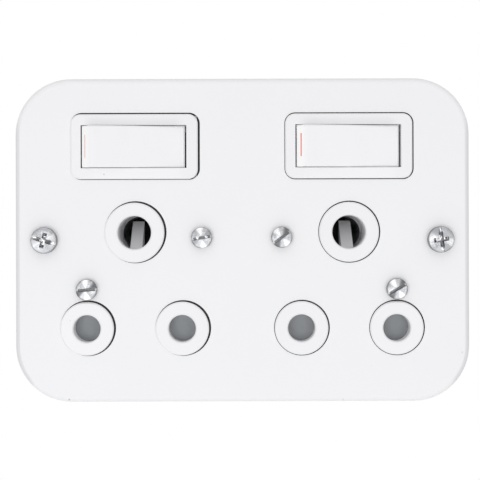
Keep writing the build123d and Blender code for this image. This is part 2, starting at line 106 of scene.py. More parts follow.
# %% A wire that can be added, multiplied and compared
class Wire:
    """A value on its way through the nodes of one tree."""

    def __init__(self, owner, socket):
        self.owner = owner
        self.socket = socket

    def maths(self, operation, *values):
        return self.owner.node("ShaderNodeMath", dict(enumerate(values)), operation=operation)

    def __add__(self, other):
        return self.maths("ADD", self, other)

    def __radd__(self, other):
        return self.maths("ADD", other, self)

    def __sub__(self, other):
        return self.maths("SUBTRACT", self, other)

    def __rsub__(self, other):
        return self.maths("SUBTRACT", other, self)

    def __mul__(self, other):
        return self.maths("MULTIPLY", self, other)

    def __rmul__(self, other):
        return self.maths("MULTIPLY", other, self)

    def __truediv__(self, other):
        return self.maths("DIVIDE", self, other)

    def __rtruediv__(self, other):
        return self.maths("DIVIDE", other, self)

    def __gt__(self, other):
        return self.maths("GREATER_THAN", self, other)

    def __lt__(self, other):
        return self.maths("LESS_THAN", self, other)

    def __abs__(self):
        return self.maths("ABSOLUTE", self)

    def larger(self, other):
        return self.maths("MAXIMUM", self, other)

    def root(self):
        return self.maths("SQRT", self)

    def sine(self):
        return self.maths("SINE", self)


print("what a wire can do:", [name for name in vars(Wire) if callable(getattr(Wire, name))])


# %% A tree that any node can be added to
class Nodes:
    """The nodes of one material or of the world."""

    def __init__(self, tree):
        self.tree = tree

    def node(self, kind, sockets=None, output=0, **settings):
        """Any node: its settings first, then the values or links of its sockets."""
        made = self.tree.nodes.new(kind)
        for key, value in settings.items():
            setattr(made, key, value)
        for key, value in (sockets or {}).items():
            if isinstance(value, Wire):
                self.tree.links.new(value.socket, made.inputs[key])
            else:
                made.inputs[key].default_value = value
        return Wire(self, made.outputs[output])

    def seen(self):
        """1 for a ray from the camera, straight or by way of a mirror or glass, and 0 for any other."""
        rays = ("Is Camera Ray", "Is Glossy Ray", "Is Transmission Ray")
        camera, glossy, through = [self.node("ShaderNodeLightPath", output=ray) for ray in rays]
        return camera.larger(glossy).larger(through)


print("what a tree can do:", [name for name in vars(Nodes) if callable(getattr(Nodes, name))])


# %% A finish: one material and its nodes
def srgb(*levels):
    """The linear colour of a screen colour given from 0 to 255."""
    shares = [v / 255 for v in levels]
    return tuple(s / 12.92 if s <= 0.04045 else ((s + 0.055) / 1.055) ** 2.4 for s in shares) + (1.0,)


class Finish(Nodes):
    """A material with one Principled shader. Constants are set on the shader's own sockets."""

    made = {}
    mix_share, mix_under, mix_over, mix_result = 0, 6, 7, 2

    def __init__(self, name, constants):
        self.material = bpy.data.materials.new(name)
        self.material.use_nodes = True
        super().__init__(self.material.node_tree)
        self.shader = self.tree.nodes["Principled BSDF"]
        for socket, value in constants.items():
            self.shader.inputs[socket].default_value = value
        Finish.made[name] = self

    def place(self):
        return self.node("ShaderNodeTexCoord", output="Object")

    def noise(self, place, size_mm, detail=2.0):
        """Cloudy noise whose blotches are about this many millimetres across."""
        sockets = {"Vector": place, "Scale": 1 / (size_mm * mm), "Detail": detail}
        return self.node("ShaderNodeTexNoise", sockets)

    def step(self, value, low, high):
        """0 below low, 1 above high, and a smooth rise between them."""
        sockets = {"Value": value, "From Min": low, "From Max": high}
        return self.node("ShaderNodeMapRange", sockets, interpolation_type="SMOOTHSTEP")

    def blend(self, mask, under, over):
        """Two colours mixed by a mask. Sockets of a Mix node share names, so they are given by number."""
        sockets = {self.mix_share: mask, self.mix_under: under, self.mix_over: over}
        return self.node("ShaderNodeMix", sockets, output=self.mix_result, data_type="RGBA")

    def stretched(self, place, x=1.0, y=1.0, z=1.0):
        """A place scaled along each axis: a noise in it is drawn out along an axis with a small scale."""
        return self.node("ShaderNodeMapping", {"Vector": place, "Scale": (x, y, z)})

    def parts(self, vector):
        """The x, y and z of a vector."""
        made = self.node("ShaderNodeSeparateXYZ", {"Vector": vector}).socket.node
        return [Wire(self, part) for part in made.outputs]

    def axes(self, place):
        """The x, y and z of a place, in millimetres."""
        return [part / mm for part in self.parts(place)]

    def far(self, place, point_mm):
        """The distance to a point, in millimetres."""
        ends = {0: place, 1: tuple(v * mm for v in point_mm)}
        return self.node("ShaderNodeVectorMath", ends, output="Value", operation="DISTANCE") / mm

    def feed(self, socket, wire):
        self.tree.links.new(wire.socket, self.shader.inputs[socket])

    def bump(self, height, depth_mm):
        self.feed("Normal", self.node("ShaderNodeBump", {"Height": height, "Distance": depth_mm * mm}))


print("white in linear colour:", srgb(255, 255, 255))

# %% [markdown]
# ## The enamelled plate
# The plate is taken to be pressed sheet steel with stove enamel, as many plates of this kind are. Close
# up such enamel has a faint orange peel, it is a shade greyer in some places than in others, and along
# the turned edge a few chips show the dark steel. A smooth white shader would look like paper, so the
# peel is a bump, the drift in tone a broad noise, and each chip a spot whose outline a finer noise breaks
# up. The fine dark lines round the collars are painted shade: the cut edges of the plate are coloured
# dark. The turned edge is painted a shade greyer at the two ends and the lower corners, where it turns
# away from the light: painted shade. One picture can't say why, so it is painted as the wear of hands
# that held the plate there.

# %% The painted shade on the edge of the plate
edge_shade_band_mm, edge_shade_ends_mm, edge_shade_top_mm = (1.15, 1.45), (5.5, 3.5), (28.0, 34.0)


def edge_shade(finish, x, z):
    """1 on the turned edge at the ends and the lower corners of the plate, where shade is painted."""
    upper_edge_mm = -lower_edge_mm
    beyond_x = (abs(x) - (plate_end_mm - corner_mm)).larger(0)
    beyond_z = (abs(z) - (upper_edge_mm - corner_mm)).larger(0)
    inset = corner_mm - (beyond_x * beyond_x + beyond_z * beyond_z).root()
    ends = finish.step(abs(x), *[plate_end_mm - inwards for inwards in edge_shade_ends_mm])
    return ends * (1 - finish.step(z, *edge_shade_top_mm)) * (1 - finish.step(inset, *edge_shade_band_mm))


print("the greyer edge is about", edge_shade_band_mm[0], "mm wide")

# %% White enamel on pressed steel
front_mm, cut_edge_back_mm = face_mm + 0.2, seat_mm - 0.02
cut_out_width_mm, cut_out_height_mm = 100.0, 69.2
chip_mm, rounding_mm = 0.34, 0.35
chip_places = (
    (-46.4, face_mm + rounding_mm, lower_edge_mm + 0.8, 0.4),
    (26.8, face_mm + rounding_mm, lower_edge_mm + 0.6, 0.15),
    (58.6, face_mm, -30.2, 0.12),
)


def enamel():
    finish = Finish("plate_enamel", {"IOR": 1.5})
    place = finish.place()
    x, y, z = finish.axes(place)
    peel = finish.noise(place, size_mm=1.6)
    drift = finish.noise(place, size_mm=26.0)
    dust = finish.step(finish.noise(place, size_mm=0.5, detail=0.0), 0.80, 0.86)
    colour = finish.blend(drift, srgb(240, 240, 242), srgb(243, 243, 245))
    colour = finish.blend(dust * 0.15, colour, srgb(196, 194, 190))
    # Painted shade: the cut edges of the plate round the collars are coloured dark.
    within = (abs(x) < cut_out_width_mm / 2) * (abs(z) < cut_out_height_mm / 2)
    cut_edge_shade = within * (y > front_mm) * (y < cut_edge_back_mm)
    colour = finish.blend(cut_edge_shade, colour, srgb(58, 56, 55))
    # Painted shade: the turned edge is greyer at the ends and the lower corners.
    colour = finish.blend(edge_shade(finish, x, z) * 0.52, colour, srgb(214, 214, 217))
    ragged = finish.noise(place, size_mm=0.35) - 0.5
    for *chip_place, depth in chip_places:
        far = finish.far(place, chip_place)
        chip = finish.step(chip_mm - far + 0.5 * ragged, -0.05, 0.12)
        colour = finish.blend(chip * depth, colour, srgb(92, 88, 84))
    finish.feed("Base Color", colour)
    finish.feed("Roughness", 0.48 + 0.10 * drift + 0.05 * peel)
    finish.bump(peel, depth_mm=0.012)
    return finish


print("plate finish:", len(enamel().tree.nodes), "nodes")

# %% [markdown]
# ## The white mouldings
# Collars, bezels and rockers of this kind are compression moulded from a hard white powder, a little
# glossier than the enamel. Such mouldings show a very fine pitted skin and a trace of flow marks. The
# same function makes both, with the rocker glossier and its sloping end painted whiter, as painted light.
# The strip above each rocker is painted greyer towards the window, a painted shadow of the rocker, and
# the strip below it paler, as painted light. The strip above each rocker is a shade greyer and the strip
# below it paler, and both are painted as the wear of fingers, though one picture can't tell the cause.
# Besides a speck or two of dirt, the narrow gap between the collars and the plate is painted dark as
# shade: a mask keeps it outside the collars.

# %% Painted shade in the gaps, and painted shadow and light on the bezels
collars = []
for side in sides:
    collars.append((middle_mm[side], switch_mm[side] - earth_drop_mm, earth_collar_mm))
    for offset in (-pin_gap_mm / 2, pin_gap_mm / 2):
        collars.append((middle_mm[side] + offset, switch_mm[side] - power_drop_mm, power_collar_mm))
gap_front_mm, gap_back_mm, gap_skin_mm = face_mm + 0.25, seat_mm + 0.01, 0.3
fade_mm = 4.0
slope_start_mm, slope_full_mm, rocker_reach_mm = 11.2, 12.6, 15.0


def gap_shade(finish, place, colour):
    """Painted shade: darkens the collars' and bezels' sides below the plate's face, and the wall behind it.
    """
    x, y, z = finish.axes(place)
    flat = finish.stretched(place, y=0.0)
    mask = (y > gap_front_mm) * (y < gap_back_mm)
    for middle, height, radius in collars:
        mask = mask * (finish.far(flat, (middle, 0, height)) > radius - gap_skin_mm)
    for side in sides:
        beside = abs(x - middle_mm[side]) - bezel_width_mm / 2
        above = abs(z - switch_mm[side]) - bezel_height_mm / 2
        mask = mask * (beside.larger(above) > -gap_skin_mm)
    return finish.blend(mask, colour, srgb(48, 47, 47))


def strip_shadow_and_light(finish, place, colour):
    """Painted shadow of the rocker on the bezel's strip above it, and painted light on the strip below it.
    """
    x, y, z = finish.axes(place)
    for side in sides:
        height = z - switch_mm[side]
        within = finish.step(window_mm / 2 - abs(x - middle_mm[side]), 0.0, fade_mm) * (y < front_mm)
        inwards = finish.step(bezel_height_mm / 2 - height, 0.0, strip_mm) * (height > 0)
        colour = finish.blend(within * inwards, colour, srgb(228, 228, 230))
        below = (height < strip_mm - bezel_height_mm / 2) * (height > -bezel_height_mm / 2)
        colour = finish.blend(within * below, colour, srgb(244, 243, 246))
    return colour


# Painted shade in the gaps, and painted shadow and light on the bezel strips.
def shaded_moulding(finish, place, colour):
    return gap_shade(finish, place, strip_shadow_and_light(finish, place, colour))


def lit_slope(finish, place, colour):
    """Painted light: whitens the sloping left end of each rocker."""
    x = finish.axes(place)[0]
    slope = 0
    for side in sides:
        leftwards = middle_mm[side] - x
        slope = slope + finish.step(leftwards, slope_start_mm, slope_full_mm) * (leftwards < rocker_reach_mm)
    return finish.blend(slope, colour, srgb(253, 253, 253))


print("collars:", [tuple(round(v, 2) for v in row) for row in collars])


# %% White moulding powder, as moulded and as polished
def white_powder(name, tone, roughness, over, specks=()):
    finish = Finish(name, {"IOR": 1.52})
    place = finish.place()
    pits = finish.noise(place, size_mm=0.22)
    flow = finish.noise(finish.stretched(place, z=0.35), size_mm=6.0)
    colour = finish.blend(flow, srgb(tone - 1, tone - 1, tone + 1), srgb(tone + 2, tone + 1, tone + 4))
    colour = over(finish, place, colour)
    ragged = finish.noise(place, size_mm=0.3) - 0.5
    for *speck_place, radius in specks:
        speck = finish.step(radius - finish.far(place, speck_place) + 0.35 * ragged, -0.05, 0.10)
        colour = finish.blend(speck * 0.4, colour, srgb(120, 116, 112))
    finish.feed("Base Color", colour)
    finish.feed("Roughness", roughness + 0.08 * flow + 0.06 * pits)
    finish.bump(pits, depth_mm=0.004)
    return finish


collar_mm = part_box("front_moulding_left")[0].y / mm
specks = ((-36.8, collar_mm, 17.6, 0.20), (-45.9, collar_mm, -21.3, 0.17))
moulded = white_powder("white_moulding", tone=240, roughness=0.30, over=shaded_moulding, specks=specks)
polished = white_powder("white_rocker", tone=243, roughness=0.22, over=lit_slope)
print("moulding finishes:", len(moulded.tree.nodes), "and", len(polished.tree.nodes), "nodes")

# %% [markdown]
# ## The dark and grey mouldings
# The picture doesn't say what these are made of, so they follow sockets of this kind: the rear base is a
# black thermoset with a dull, slightly mottled skin, the shutter a grey nylon, and the plunger a milky
# acetal. All three are matt, so the interest is in the tone: a mottle and long faint flow lines. The
# shutter's ramp is painted paler, most of all at its foot, as painted light.

# %% Black base, grey shutter and milky plunger
lit_from_mm, lit_tone_mm = (-5.0, -3.5), (-2.0, 7.0)


def lit_ramp(finish, place, colour):
    """Painted light: pales the shutter's ramp, most of all at its foot."""
    z = finish.axes(place)[2]
    pale = finish.blend(finish.step(z, *lit_tone_mm), srgb(232, 232, 233), srgb(176, 176, 177))
    return finish.blend(finish.step(z, *lit_from_mm), colour, pale)


def dull_plastic(name, dark, light, mottle_mm, roughness, over=None):
    finish = Finish(name, {"IOR": 1.48})
    place = finish.place()
    mottle = finish.noise(place, mottle_mm, detail=4.0)
    flow = finish.noise(finish.stretched(place, z=0.2), size_mm=2.5)
    skin = finish.noise(place, size_mm=0.18)
    colour = finish.blend(mottle * 0.7 + flow * 0.3, dark, light)
    finish.feed("Base Color", over(finish, place, colour) if over else colour)
    finish.feed("Roughness", roughness + 0.12 * mottle + 0.08 * skin)
    finish.bump(skin, depth_mm=0.008)


black, near_black = srgb(26, 26, 27), srgb(46, 46, 48)
grey, pale_grey = srgb(133, 136, 138), srgb(147, 150, 152)
milk, pale_milk = srgb(214, 210, 198), srgb(228, 225, 214)
dull_plastic("black_moulding", black, near_black, mottle_mm=1.4, roughness=0.42)
dull_plastic("grey_moulding", grey, pale_grey, mottle_mm=2.0, roughness=0.48, over=lit_ramp)
dull_plastic("plunger_acetal", milk, pale_milk, mottle_mm=3.0, roughness=0.35)
print("finishes so far:", sorted(Finish.made))

# %% [markdown]
# ## The metals
# The metals inside can't be seen from the front, so they too follow such sockets. Brass and copper strip
# leave the press with fine rolling lines and a brown tarnish, the earth contact is tinned and has a dull
# oxide skin, the terminal screws are passivated, and the springs are drawn wire. One recipe serves them
# all: a metal whose colour slides towards its tarnish in blotches, with drawn-out scratches in the
# roughness and the bump. The live strip is also painted black near the switch, as soot from the small
# arc that each opening draws and as painted shade where it shows through the gaps round the rocker.

# %% Brass, copper, silver, wire and passivated steel
blackened_mm = (8.0, 14.0)


def worked_metal(name, clean, tarnish, share, roughness, over=None, metallic=1.0):
    finish = Finish(name, {"Metallic": metallic})
    place = finish.place()
    cloud = finish.noise(place, size_mm=3.0, detail=5.0)
    blotch = finish.step(cloud, 0.62 - share * 0.4, 0.80 - share * 0.3)
    lines = finish.noise(finish.stretched(place, z=0.04), size_mm=0.12)
    colour = finish.blend(blotch * 0.8, clean, tarnish)
    finish.feed("Base Color", over(finish, place, colour) if over else colour)
    finish.feed("Roughness", roughness + 0.22 * blotch + 0.14 * lines)
    finish.bump(lines, depth_mm=0.006)


def soot_and_shade(finish, place, colour):
    """Blackens the top of the live strip: soot where the switch draws its arc, and painted shade."""
    z = finish.axes(place)[2]
    return finish.blend(finish.step(z, *blackened_mm), colour, srgb(44, 42, 40))


brass, brown = srgb(226, 190, 112), srgb(150, 112, 62)
tin, dull_tin = srgb(186, 188, 191), srgb(132, 133, 135)
copper, dark_copper = srgb(222, 158, 118), srgb(128, 78, 54)
silver, dull_silver = srgb(232, 230, 226), srgb(150, 142, 130)
steel, grey_steel = srgb(176, 178, 184), srgb(112, 108, 104)
passive, worn_passive = srgb(206, 198, 176), srgb(150, 136, 104)
worked_metal("brass", brass, brown, share=0.5, roughness=0.24)
worked_metal("live_brass", brass, brown, share=0.5, roughness=0.30, over=soot_and_shade)
worked_metal("tinned_brass", tin, dull_tin, share=0.4, roughness=0.45, metallic=0.3)
worked_metal("copper_strip", copper, dark_copper, share=0.5, roughness=0.26)
worked_metal("silver_tip", silver, dull_silver, share=0.3, roughness=0.28)
worked_metal("spring_wire", steel, grey_steel, share=0.3, roughness=0.22)
worked_metal("terminal_steel", passive, worn_passive, share=0.6, roughness=0.30)
print("finishes so far:", len(Finish.made))

# %% [markdown]
# ## The plated screw heads
# The screws in the front are turned and bright plated. Their heads carry the fine rings of the lathe as a
# bump. Painted on them are a highlight where the light runs across those rings, a dark painted reflection
# beside the slot, painted shade in the recess with a few painted glints, and a painted shaded rim. These
# patterns turn with the screw, so they can't be drawn in the frame of the whole object: every screw mesh
# carries an attribute with each point's own place on the head, across it in shares of the radius and down
# from the top in millimetres, and the finish reads that.

# %% Bright plate with the rings of the lathe, and painted highlights and shade
lathe_rings, smear_share, dark_reflection_deg = 20, 0.35, 22
recess_mm, behind_head_mm, recess_share = (0.15, 0.45), 1.6, 0.82


def bright_plate(name, light, dark_reflection, highlight_deg, highlight, glint):
    finish = Finish(name, {"Metallic": 1.0})
    turning = finish.node("ShaderNodeAttribute", output="Vector", attribute_name="turning")
    x, depth, z = finish.parts(turning)
    radius = (x * x + z * z).root()

    def sector(middle, narrow, wide):
        """1 in two opposite sectors of the head, about a line at this angle to the slot."""
        turn = radians(middle)
        along = abs(x * cos(turn) + z * sin(turn)) / (radius + 0.02)
        return finish.step(along, cos(radians(wide)), cos(radians(narrow)))

    smear = finish.noise(turning, size_mm=smear_share / mm, detail=4.0)
    # A dark painted reflection in two sectors beside the slot, also a little rougher.
    dark_sector = sector(dark_reflection_deg, narrow=12, wide=30) * finish.step(radius, 0.16, 0.30)
    colour = finish.blend(smear, srgb(140, 141, 144), srgb(light, light + 1, light + 4))
    # Painted highlight: a bright streak across the rings.
    colour = finish.blend(sector(highlight_deg, narrow=10, wide=30) * highlight, colour, srgb(240, 240, 242))
    colour = finish.blend(dark_sector * dark_reflection * (0.6 + 0.6 * smear), colour, srgb(104, 105, 107))
    # Painted shade in the slot or cross, with painted glints in it.
    sunk = finish.step(depth, *recess_mm) * (depth < behind_head_mm) * (radius < recess_share)
    glinting = finish.step(smear, 0.48, 0.60) * glint
    colour = finish.blend(sunk, colour, finish.blend(glinting, srgb(104, 104, 106), srgb(216, 216, 219)))
    # Painted shade along the rim of the head.
    colour = finish.blend(finish.step(radius, 0.93, 0.99) * 0.8, colour, srgb(120, 120, 122))
    finish.feed("Base Color", colour)
    finish.feed("Roughness", 0.22 + 0.14 * smear + 0.15 * dark_sector)
    finish.bump((radius * tau * lathe_rings).sine(), depth_mm=0.006)


bright_plate("slotted_plate", light=206, dark_reflection=1.0, highlight_deg=94, highlight=0.9, glint=0.0)
bright_plate("fainter_reflection_plate", light=206, dark_reflection=0.5, highlight_deg=94, highlight=0.9, glint=1.0)
bright_plate("cross_plate", light=190, dark_reflection=0.3, highlight_deg=31, highlight=0.5, glint=1.0)
bright_plate("turned_cross_plate", light=190, dark_reflection=0.3, highlight_deg=69, highlight=0.5, glint=1.0)
print("finishes so far:", len(Finish.made))

# %% [markdown]
# ## Giving the solids their finish
# The name of each solid says what kind of piece it is, and the solids already carry a plain material in
# their slot. Swapping the material in each object's slot keeps the mesh as it is.

# %% Dress every solid
kinds = {
    "cover_plate": "plate_enamel",
    "front_moulding": "white_moulding",
    "rocker": "white_rocker",
    "rear_base": "black_moulding",
    "shutter": "grey_moulding",
    "plunger": "plunger_acetal",
    "fixing_screws": "cross_plate",
    "module_screws": "slotted_plate",
    "base_screws": "terminal_steel",
    "terminal_screws": "terminal_steel",
    "plunger_spring": "spring_wire",
    "shutter_spring": "spring_wire",
    "insert_nuts": "brass",
    "live_contact": "live_brass",
    "neutral_contact": "brass",
    "earth_contact": "tinned_brass",
    "line_terminal": "brass",
    "contact_lever": "copper_strip",
    "moving_tip": "silver_tip",
    "fixed_tip": "silver_tip",
}
for name, solid in nodes.items():
    kind = name.removesuffix("_left").removesuffix("_right")
    solid.material_slots[0].material = Finish.made[kinds[kind]].material
print("dressed solids:", len(nodes))

# %% [markdown]
# ## Turning a piece on the lathe
# A screw is a turned piece, so its outline is drawn once, as a few points from the axis to the axis, and
# spun through a full circle. The thread is a small triangle spun in the same way, with a rise at every
# step, which makes a helix. A slot or a cross is then cut with a Boolean, and a narrow bevel takes off
# the sharp edges.

# %% Spin an outline about the Y axis
weld_mm, thread_sunk_mm, thread_share = 0.0005, 0.1, 0.42
lathe_steps, thread_steps = 64, 20


def spun(outline_mm):
    bm = bmesh.new()
    points = [bm.verts.new((r * mm, y * mm, 0)) for r, y in outline_mm]
    edges = [bm.edges.new(pair) for pair in zip(points, points[1:])]
    bmesh.ops.spin(
        bm, geom=points + edges, cent=(0, 0, 0), axis=(0, 1, 0), angle=tau, steps=lathe_steps, use_merge=True
    )
    bmesh.ops.remove_doubles(bm, verts=bm.verts[:], dist=weld_mm * mm)
    bmesh.ops.recalc_face_normals(bm, faces=bm.faces[:])
    return bm


def close_ends(bm, first, done):
    """Fills both ends of a spun ring and turns all faces outwards."""
    last = [e for e in done["geom_last"] if isinstance(e, bmesh.types.BMEdge)]
    bmesh.ops.contextual_create(bm, geom=first)
    bmesh.ops.contextual_create(bm, geom=last)
    bmesh.ops.recalc_face_normals(bm, faces=bm.faces[:])


def add_thread(bm, crest_mm, root_mm, pitch_mm, start_mm, end_mm):
    """A helical ridge along Y, sunk a little into the shank."""
    foot = root_mm - thread_sunk_mm
    half = thread_share * pitch_mm
    section = ((foot, start_mm), (crest_mm, start_mm + half), (foot, start_mm + 2 * half))
    points = [bm.verts.new((r * mm, y * mm, 0)) for r, y in section]
    edges = [bm.edges.new((points[i - 1], points[i])) for i in range(3)]
    turns = (end_mm - start_mm) / pitch_mm - 1
    done = bmesh.ops.spin(
        bm, geom=points + edges, cent=(0, 0, 0), axis=(0, 1, 0), dvec=(0, pitch_mm * mm / thread_steps, 0),
        angle=turns * tau, steps=round(turns * thread_steps), use_merge=False,
    )
    close_ends(bm, edges, done)


print("steps in a turn of the lathe:", lathe_steps, "and in a turn of a thread:", thread_steps)


# %% Cutters and objects
def wedge(length_mm, width_mm, top_mm, floor_mm, taper=1.0, draft=0.8):
    """A bar across the axis that narrows towards its floor, used as a cutter."""
    bm = bmesh.new()
    bmesh.ops.create_cube(bm, size=1.0)
    deep = [v for v in bm.verts if v.co.y > 0]
    bmesh.ops.scale(bm, vec=(taper, 1.0, draft), verts=deep)
    depth = floor_mm - top_mm
    bmesh.ops.scale(bm, vec=(length_mm * mm, depth * mm, width_mm * mm), verts=bm.verts[:])
    bmesh.ops.translate(bm, vec=(0, (top_mm + depth / 2) * mm, 0), verts=bm.verts[:])
    return bm


def as_object(bm, name):
    mesh = bpy.data.meshes.new(name)
    bm.to_mesh(mesh)
    bm.free()
    piece = bpy.data.objects.new(name, mesh)
    bpy.context.scene.collection.objects.link(piece)
    return piece


# %% Cut, ease, and put a screw in its place
ease_mm, ease_deg, sharp_deg = 0.05, 40, 32


def finished(piece, cutters, finish, head_mm, top_mm, place):
    """Cuts and eases a screw, notes each point's place on its head, and moves it to where it belongs."""
    for cutter in cutters:
        cut = piece.modifiers.new("cut", "BOOLEAN")
        cut.object = cutter
    ease = piece.modifiers.new("ease", "BEVEL")
    ease.width = ease_mm * mm
    ease.segments = 2
    ease.limit_method = "ANGLE"
    ease.angle_limit = radians(ease_deg)
    cut_and_eased = piece.evaluated_get(bpy.context.evaluated_depsgraph_get())
    mesh = bpy.data.meshes.new_from_object(cut_and_eased)
    piece.modifiers.clear()
    piece.data = mesh
    for cutter in cutters:
        bpy.data.objects.remove(cutter)
    turning = mesh.attributes.new("turning", "FLOAT_VECTOR", "POINT")
    for point, vertex in zip(turning.data, mesh.vertices):
        x, y, z = vertex.co / mm
        point.vector = (x / head_mm, y - top_mm, z / head_mm)
    mesh.transform(place)
    mesh.shade_smooth()
    mesh.set_sharp_from_angle(angle=radians(sharp_deg))
    mesh.materials.clear()
    mesh.materials.append(Finish.made[finish].material)
    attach(piece, "socket")
    print(piece.name, "faces:", len(mesh.polygons))
    return piece


print("edges sharper than", ease_deg, "degrees are eased by", ease_mm, "mm")

# %% [markdown]
# ## The two fixing screws
# These hold the plate to its wall box. They are pan heads: a crown that is nearly flat in the middle and
# rounds over into a straight rim, a cross recess that narrows towards its floor, a shallow slot right
# across for a plain screwdriver, and a thread behind the plate. A circle's arc would make the crown too
# round, so its curve is a fourth-power one, flatter on top and tighter at the edge.

# %% Pan heads with a cross recess and a slot
head_mm, crown_mm, edge_mm, point_mm, point_cut_mm = 3.5, 2.0, 0.8, 0.6, 0.5
shank_mm, root_mm, neck_mm, length_mm, pitch_mm, run_out_mm = 1.75, 1.4, 1.8, 25.0, 0.8, 0.5
cross_length_mm, cross_width_mm, cross_depth_mm, cross_taper = 4.8, 1.2, 1.3, 0.5
groove_width_mm, groove_depth_mm = 1.0, 0.5
cutter_rise_mm = 0.5


def pan_head(name, x_mm, turn, finish):
    top = face_mm - crown_mm
    tip = face_mm + length_mm
    shares = [sin(radians(a)) for a in range(0, 91, 9)]
    crown = [(head_mm * r, top + edge_mm * (1 - (1 - r**4) ** 0.25)) for r in shares]
    shank = [(head_mm, face_mm), (root_mm, face_mm), (root_mm, tip - point_mm)]
    point = [(root_mm - point_cut_mm, tip), (0, tip)]
    bm = spun(crown + shank + point)
    add_thread(bm, shank_mm, root_mm, pitch_mm, face_mm + neck_mm, tip - run_out_mm)
    screw = as_object(bm, name)
    above = top - cutter_rise_mm
    groove = wedge(3 * head_mm, groove_width_mm, above, top + groove_depth_mm)
    cutters = [as_object(groove, "cutter")]
    for quarter in (0, 90):
        arm = wedge(cross_length_mm, cross_width_mm, above, top + cross_depth_mm, cross_taper)
        bmesh.ops.rotate(arm, verts=arm.verts[:], matrix=Matrix.Rotation(radians(quarter), 3, "Y"))
        cutters.append(as_object(arm, "cutter"))
    place = Matrix.Translation((x_mm * mm, 0, 0)) @ Matrix.Rotation(radians(turn), 4, "Y")
    return finished(screw, cutters, finish, head_mm, top, place)


low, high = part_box("fixing_screws")
left_screw = pan_head("fixing_screw_left", low.x / mm + head_mm, turn=16, finish="cross_plate")
right_screw = pan_head("fixing_screw_right", high.x / mm - head_mm, turn=82, finish="turned_cross_plate")
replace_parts(left_screw, "fixing_screws")
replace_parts(right_screw, "fixing_screws")

# %% [markdown]
# ## The four module screws
# Smaller slotted screws hold the modules up against the plate. Nobody lined their slots up, so each one
# stands at its own angle. Their heads are low cylinders with a slightly crowned top, turned from bar.

# %% Slotted heads
small_head_mm, small_crown_mm, small_point_mm, small_point_cut_mm = 2.8, 1.8, 0.3, 0.35
small_shank_mm, small_root_mm, small_neck_mm, small_pitch_mm, small_run_out_mm = 1.45, 1.2, 1.4, 0.5, 0.2
slot_length_mm, slot_width_mm, slot_depth_mm = 8.0, 0.85, 0.8
tip_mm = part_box("module_screws")[1].y / mm
# The first screw's finish has a fainter painted reflection and painted glints in its slot.
slotted = (
    ("module_screw_1", "left", 17.95, -24.35, 10.0, "fainter_reflection_plate"),
    ("module_screw_2", "left", -12.75, -38.15, 4.0, "slotted_plate"),
    ("module_screw_3", "right", -17.95, -24.35, 37.0, "slotted_plate"),
    ("module_screw_4", "right", 12.75, -38.15, 30.0, "slotted_plate"),
)


def slotted_head(name, side, x_mm, z_mm, turn, finish):
    top = face_mm - small_crown_mm
    crown = [(0, top), (1.4, top + 0.04), (2.3, top + 0.17), (2.62, top + 0.30), (small_head_mm, top + 0.52)]
    shank = [(small_head_mm, face_mm), (small_root_mm, face_mm), (small_root_mm, tip_mm - small_point_mm)]
    point = [(small_root_mm - small_point_cut_mm, tip_mm), (0, tip_mm)]
    bm = spun(crown + shank + point)
    start, end = face_mm + small_neck_mm, tip_mm - small_run_out_mm
    add_thread(bm, small_shank_mm, small_root_mm, small_pitch_mm, start, end)
    screw = as_object(bm, name)
    slot = wedge(slot_length_mm, slot_width_mm, top - cutter_rise_mm, top + slot_depth_mm)
    middle = ((middle_mm[side] + x_mm) * mm, 0, (switch_mm[side] + z_mm) * mm)
    place = Matrix.Translation(middle) @ Matrix.Rotation(radians(-turn), 4, "Y")
    return finished(screw, [as_object(slot, "cutter")], finish, small_head_mm, top, place)


for row in slotted:
    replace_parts(slotted_head(*row), "module_screws")

# %% [markdown]
# ## The springs
# Each module has two: one under the shutter's ramp, which closes the holes again, and one in the rocker's
# stem, which snaps the switch over. A spring is a ring of wire spun with a rise at every step. It has to
# shorten when its neighbour moves.

# %% Round wire springs
wire_mm, shutter_coil_mm, plunger_coil_mm = 0.4, 1.6, 1.1
shutter_turns, plunger_turns, coil_steps, crease_deg = 7, 4, 28, 50


def wire_coil(name, middle, axis_turn, mean_mm, length_mm, turns):
    bm = bmesh.new()
    ring = bmesh.ops.create_circle(bm, radius=wire_mm / 2 * mm, segments=10)["verts"]
    bmesh.ops.rotate(bm, verts=ring, matrix=Matrix.Rotation(radians(90), 3, "X"))
    rise = length_mm - wire_mm
    bmesh.ops.translate(bm, verts=ring, vec=(mean_mm * mm, 0, -rise / 2 * mm))
    edges = bm.edges[:]
    steps = turns * coil_steps
    done = bmesh.ops.spin(
        bm, geom=ring + edges, cent=(0, 0, 0), axis=(0, 0, 1), dvec=(0, 0, rise * mm / steps),
        angle=turns * tau, steps=steps, use_merge=False,
    )
    close_ends(bm, edges, done)
    coil = as_object(bm, name)
    coil.data.transform(Matrix.Translation(middle) @ axis_turn)
    coil.data.shade_smooth()
    coil.data.set_sharp_from_angle(angle=radians(crease_deg))
    coil.data.materials.append(Finish.made["spring_wire"].material)
    print(name, "faces:", len(coil.data.polygons))
    return coil


print("turns of a shutter's spring:", shutter_turns, "and of a plunger's:", plunger_turns)

# %% Springs under the shutters
travel = {name: row.get("range_m", (0, 0))[1] for name, row in joints.items()}
upright = Matrix.Identity(4)
for side in sides:
    low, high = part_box(f"shutter_spring_{side}")
    length = high.z - low.z
    middle = (low + high) / 2
    coil = wire_coil(f"shutter_coil_{side}", middle, upright, shutter_coil_mm, length / mm, shutter_turns)
    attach(coil, "socket")
    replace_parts(coil, f"shutter_spring_{side}")
    joint = f"shutter_{side}"
    1 - travel[joint] / length
    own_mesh(coil)

